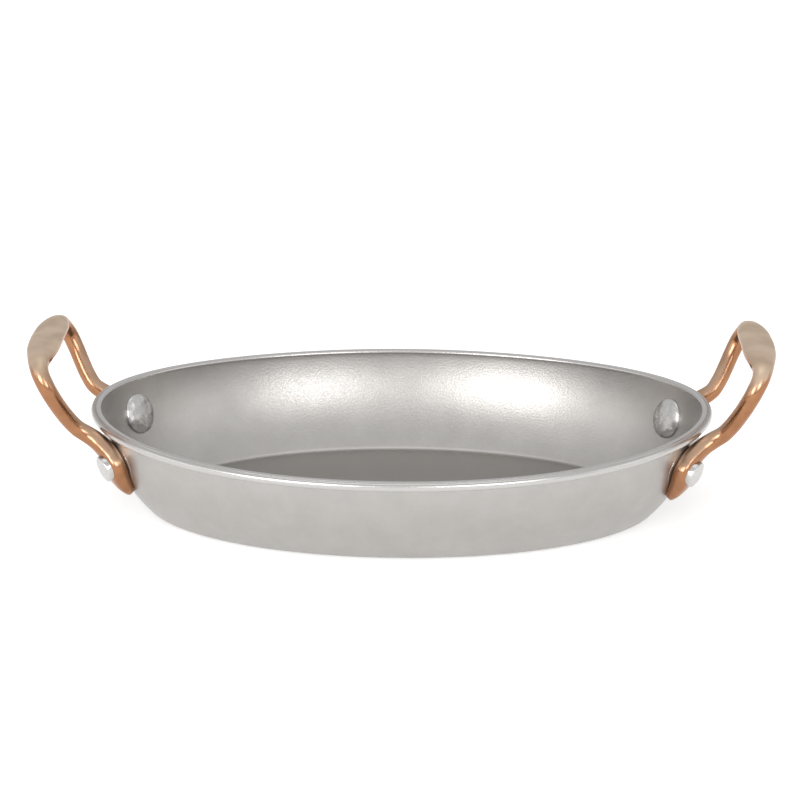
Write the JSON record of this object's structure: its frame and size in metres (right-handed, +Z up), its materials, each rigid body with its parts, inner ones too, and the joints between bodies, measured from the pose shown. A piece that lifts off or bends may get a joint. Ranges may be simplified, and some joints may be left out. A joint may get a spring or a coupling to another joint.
{
  "type": "oval serving dish",
  "caption": "Oval drawn-steel serving dish with sloping sides, a rolled rim and a riveted copper-coloured loop handle at each end.",
  "frame": {"origin": "middle of the flat base, on the surface the dish stands on", "axes": "+X along the long axis towards the right handle, +Y across the dish to the rear, +Z up"},
  "size_m": [0.2856, 0.1588, 0.0685],
  "materials": {
    "steel_sheet": "stone-washed satin stainless steel",
    "copper_casting": "copper-coloured, polished legs and a paler satin grip",
    "rivet_steel": "bright hammered steel rivet heads"
  },
  "bodies": {
    "root": {"dish_body": "steel_sheet", "handle_left": "copper_casting", "handle_right": "copper_casting", "rivet_left_front": "rivet_steel", "rivet_left_rear": "rivet_steel", "rivet_right_front": "rivet_steel", "rivet_right_rear": "rivet_steel"}
  },
  "joints": []
}
